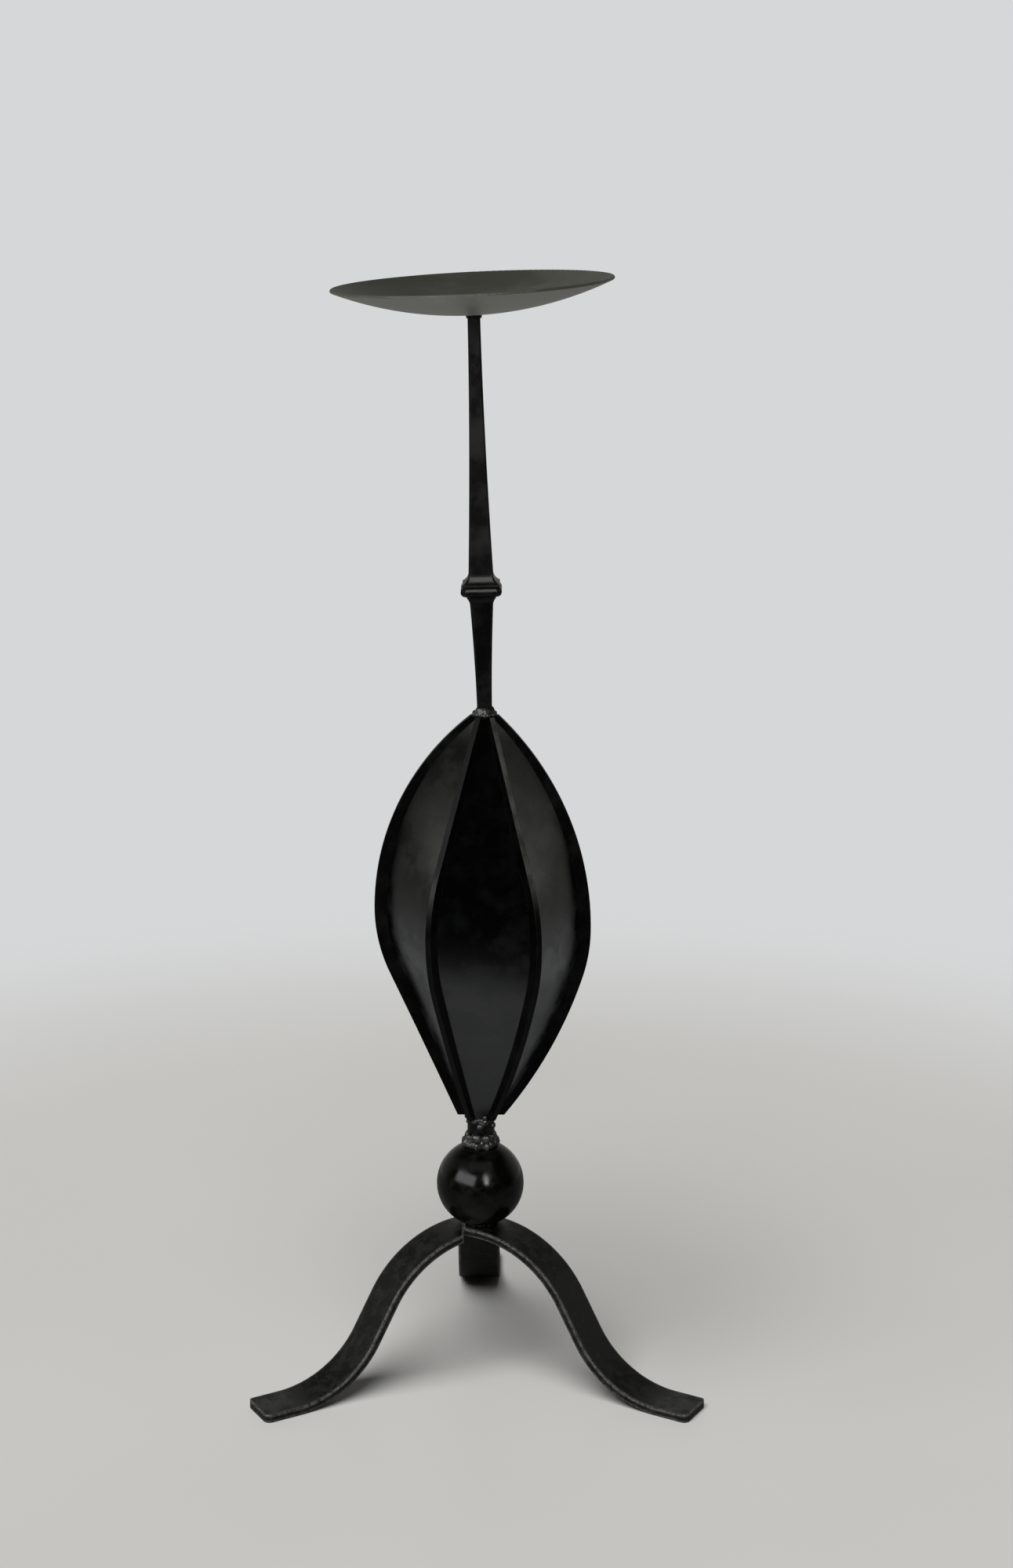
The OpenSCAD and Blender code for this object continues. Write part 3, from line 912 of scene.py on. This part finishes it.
def way_to(azimuth: float, elevation: float) -> Vector:
    """Gives the direction of a light seen from the stand.

    Args:
        azimuth: degrees from straight in front, towards the viewer's right.
        elevation: degrees up.

    Returns:
        A direction of length 1.
    """
    turn, rise = math.radians(azimuth), math.radians(elevation)
    return Vector((math.sin(turn) * math.cos(rise), -math.cos(turn) * math.cos(rise),
                   math.sin(rise)))


class Lit(Enum):
    """Which pieces a soft box lights, by what their names start with."""

    # All but the sheets
    IRON = ("ball", "dish", "hub_", "leg_", "lower_", "neck", "pan_", "pod_", "rib_", "stem_",
            "upper_")
    # The ribs and the whole stem
    BARS = ("rib_", "lower_", "stem_", "upper_")
    # The collar and the stem above it
    COLLAR = ("stem_", "upper_")
    SHEETS = ("sheet_",)
    STRAPS = ("leg_",)
    BALL = ("ball",)
    PAN = ("dish",)


@dataclass(frozen=True)
class SoftBox:
    """A soft window of light, by where it stands as seen from the stand's middle.

    The angles are in degrees, the distance and the two sides in millimetres.
    """

    name: str
    azimuth: float
    elevation: float
    away: float
    wide: float
    tall: float
    watts: float
    tint: str
    lit: Lit

    def hang(self, middle_z: float) -> bpy.types.Object:
        """Hangs the box and turns it to the stand.

        Args:
            middle_z: the height of the stand's middle.

        Returns:
            The lamp.
        """
        lamp = bpy.data.lights.new(self.name, "AREA")
        lamp.shape = "RECTANGLE"
        lamp.size = self.wide * MM
        lamp.size_y = self.tall * MM
        lamp.energy = self.watts
        lamp.color = linear(self.tint)[:3]
        way = way_to(self.azimuth, self.elevation)
        held = put(self.name, lamp)
        held.location = (Vector((0.0, 0.0, middle_z)) + way * self.away) * MM
        held.rotation_euler = way.to_track_quat("Z", "Y").to_euler()
        held.visible_camera = False
        LOG.info("%s is hung", self.name)
        return held


@dataclass
class Studio:
    """A pale plain floor, soft window light and dim air all round."""

    middle_z: float = 380.0
    floor_half: float = 1200.0
    # Each by azimuth, elevation, distance, width, height and watts
    boxes: tuple[SoftBox, ...] = (
        SoftBox("left_window", -44.0, 22.0, 2600.0, 2800.0, 1250.0, 50.0, "#f8f8f9", Lit.IRON),
        SoftBox("right_window", 17.0, 23.0, 2600.0, 360.0, 1000.0, 23.0, "#f8f8f9", Lit.IRON),
        SoftBox("side_window", 65.0, 34.0, 2600.0, 700.0, 1000.0, 16.0, "#fbf8f2", Lit.BARS),
        SoftBox("roof_window", 0.0, 53.0, 2600.0, 1000.0, 2700.0, 34.0, "#fbfaf0", Lit.COLLAR),
        SoftBox("left_wall", -104.0, 42.0, 2600.0, 2000.0, 3000.0, 19.0, "#fbfaf0", Lit.SHEETS),
        SoftBox("right_wall", 104.0, 34.0, 2600.0, 2000.0, 3000.0, 12.5, "#fbfaf0", Lit.SHEETS),
        SoftBox("near_floor", 0.0, -90.0, 365.0, 800.0, 900.0, 0.46, "#f3f5f8", Lit.SHEETS),
        SoftBox("floor_band", 0.0, -57.0, 400.0, 800.0, 120.0, 0.07, "#f1f1fa", Lit.SHEETS),
        SoftBox("left_floor", -130.0, -36.0, 670.0, 600.0, 420.0, 0.26, "#f3f5f8", Lit.SHEETS),
        SoftBox("right_floor", 130.0, -36.0, 670.0, 600.0, 420.0, 0.32, "#f3f5f8", Lit.SHEETS),
        SoftBox("back_wall", 180.0, 16.0, 2600.0, 1600.0, 700.0, 1.4, "#fbfaf0", Lit.STRAPS),
        SoftBox("ball_roof", 0.0, 64.0, 2600.0, 3000.0, 1600.0, 6.0, "#fbfaf0", Lit.BALL),
        SoftBox("pan_floor", 0.0, -90.0, 365.0, 800.0, 900.0, 4.0, "#f3f5f8", Lit.PAN),
    )
    # Daylight on the floor
    day_azimuth: float = -30.0
    day_elevation: float = 66.0
    day_spread: float = 50.0
    day_level: float = 2.9
    # The room as the camera sees it, and as it lights the stand
    backdrop: str = "#d6d7d8"
    room_tint: str = "#f6f5f0"
    wall_level: float = 0.34
    front_level: float = 0.02
    ceiling_level: float = 0.02
    # The room's y and z, on a ball of radius 1 round the stand, where one gives way to another
    front_to_wall: tuple[float, float] = (-0.1, 0.6)
    wall_to_ceiling: tuple[float, float] = (0.25, 0.8)

    def build(self) -> None:
        """Builds the floor, the lights and the air.

        The windows light only the stand, so the floor stays even.
        """
        pieces = [o for o in bpy.context.scene.objects if o.type == "MESH"]
        groups = {lit: self._group(lit.name.lower(), [
            piece for piece in pieces if piece.name.startswith(lit.value)]) for lit in Lit}
        floor = self._floor()
        for box in self.boxes:
            box.hang(self.middle_z).light_linking.receiver_collection = groups[box.lit]
        self._daylight().light_linking.receiver_collection = self._group("by_daylight", [floor])
        self._air()
        view = bpy.context.scene.view_settings
        view.view_transform = "Standard"
        view.look = "None"

    def _group(self, name: str, members: Iterable[bpy.types.Object]) -> bpy.types.Collection:
        """Gathers what one kind of light falls on.

        Args:
            name: what lights them, or the name of their kind.
            members: the objects.

        Returns:
            The group.
        """
        group = bpy.data.collections.new(f"lit_{name}")
        for member in members:
            group.objects.link(member)
        return group

    def _floor(self) -> bpy.types.Object:
        """Lays the floor at height 0.

        Returns:
            The floor.
        """
        shape = bmesh.new()
        bmesh.ops.create_grid(shape, x_segments=8, y_segments=8, size=self.floor_half * MM)
        floor = put("floor", mesh_of(shape, "floor"))
        floor.data.materials.append(PaleFloorPaint().make())
        LOG.info("the floor is laid")
        return floor

    def _daylight(self) -> bpy.types.Object:
        """Spreads soft daylight over the floor.

        Returns:
            The lamp.
        """
        lamp = bpy.data.lights.new("daylight", "SUN")
        lamp.energy = self.day_level
        lamp.angle = math.radians(self.day_spread)
        held = put("daylight", lamp)
        way = way_to(self.day_azimuth, self.day_elevation)
        held.rotation_euler = way.to_track_quat("Z", "Y").to_euler()
        return held

    def _air(self) -> None:
        """Fills the room: pale walls behind and at the sides, dark in front and above."""
        air = bpy.data.worlds.new("studio_air")
        bpy.context.scene.world = air
        air.use_nodes = True
        tree = air.node_tree
        tree.nodes.clear()
        sky = add(tree, "ShaderNodeTexCoord").outputs["Generated"]
        way = add(tree, "ShaderNodeSeparateXYZ", {0: sky})
        behind = add(tree, "ShaderNodeMapRange", {
            "Value": way.outputs["Y"],
            "From Min": self.front_to_wall[0], "From Max": self.front_to_wall[1],
            "To Min": self.front_level, "To Max": self.wall_level,
        }, interpolation_type="SMOOTHSTEP").outputs[0]
        above = add(tree, "ShaderNodeMapRange", {
            "Value": way.outputs["Z"],
            "From Min": self.wall_to_ceiling[0], "From Max": self.wall_to_ceiling[1],
            "To Min": 1.0, "To Max": 0.0,
        }, interpolation_type="SMOOTHSTEP").outputs[0]
        lit = add(tree, "ShaderNodeMath", {0: behind, 1: above}, operation="MULTIPLY")
        level = add(tree, "ShaderNodeMath", {
            0: lit.outputs[0], 1: self.ceiling_level,
        }, operation="MAXIMUM").outputs[0]
        room = add(tree, "ShaderNodeBackground", {
            "Color": linear(self.room_tint), "Strength": level,
        })
        seen = add(tree, "ShaderNodeBackground", {"Color": linear(self.backdrop)})
        ray = add(tree, "ShaderNodeLightPath").outputs["Is Camera Ray"]
        both = add(tree, "ShaderNodeMixShader", {0: ray, 1: room.outputs[0], 2: seen.outputs[0]})
        add(tree, "ShaderNodeOutputWorld", {"Surface": both.outputs[0]})


@dataclass(frozen=True)
class Viewpoint:
    """The photograph's viewing angle, worked out from the stand's outline."""

    x: float = 19.3
    y: float = -1880.4
    z: float = 940.7
    down: float = 14.78
    lens: float = 63.0
    film: float = 36.0
    nearest: float = 50.0
    farthest: float = 60000.0

    def build(self) -> None:
        """Sets up the camera."""
        camera = bpy.data.cameras.new("viewpoint")
        camera.lens = self.lens
        camera.sensor_width = self.film
        camera.clip_start = self.nearest * MM
        camera.clip_end = self.farthest * MM
        seat = put("viewpoint", camera)
        seat.location = Vector((self.x, self.y, self.z)) * MM
        seat.rotation_euler = (math.radians(90.0 - self.down), 0.0, 0.0)
        bpy.context.scene.camera = seat
        LOG.info("the camera is set")


def main() -> None:
    """Builds and finishes the stand, one sub-assembly after another."""
    logging.basicConfig(level=logging.INFO, format="%(name)s: %(message)s")
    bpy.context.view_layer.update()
    Viewpoint().build()
    spine = Spine()
    bead_made = BEAD_COAT.make()
    # The bead paint darkened with painted shade, for the welds under the pan and the ball
    shaded_bead = SHADED_BEAD_COAT.make()
    DripPan(spine).build(shaded_bead)
    Stem(spine).build(bead_made)
    Pod().build()
    NeckAndBall(spine).build(bead_made)
    Tripod().build(shaded_bead)
    Studio().build()


if __name__ == "__main__":
    main()
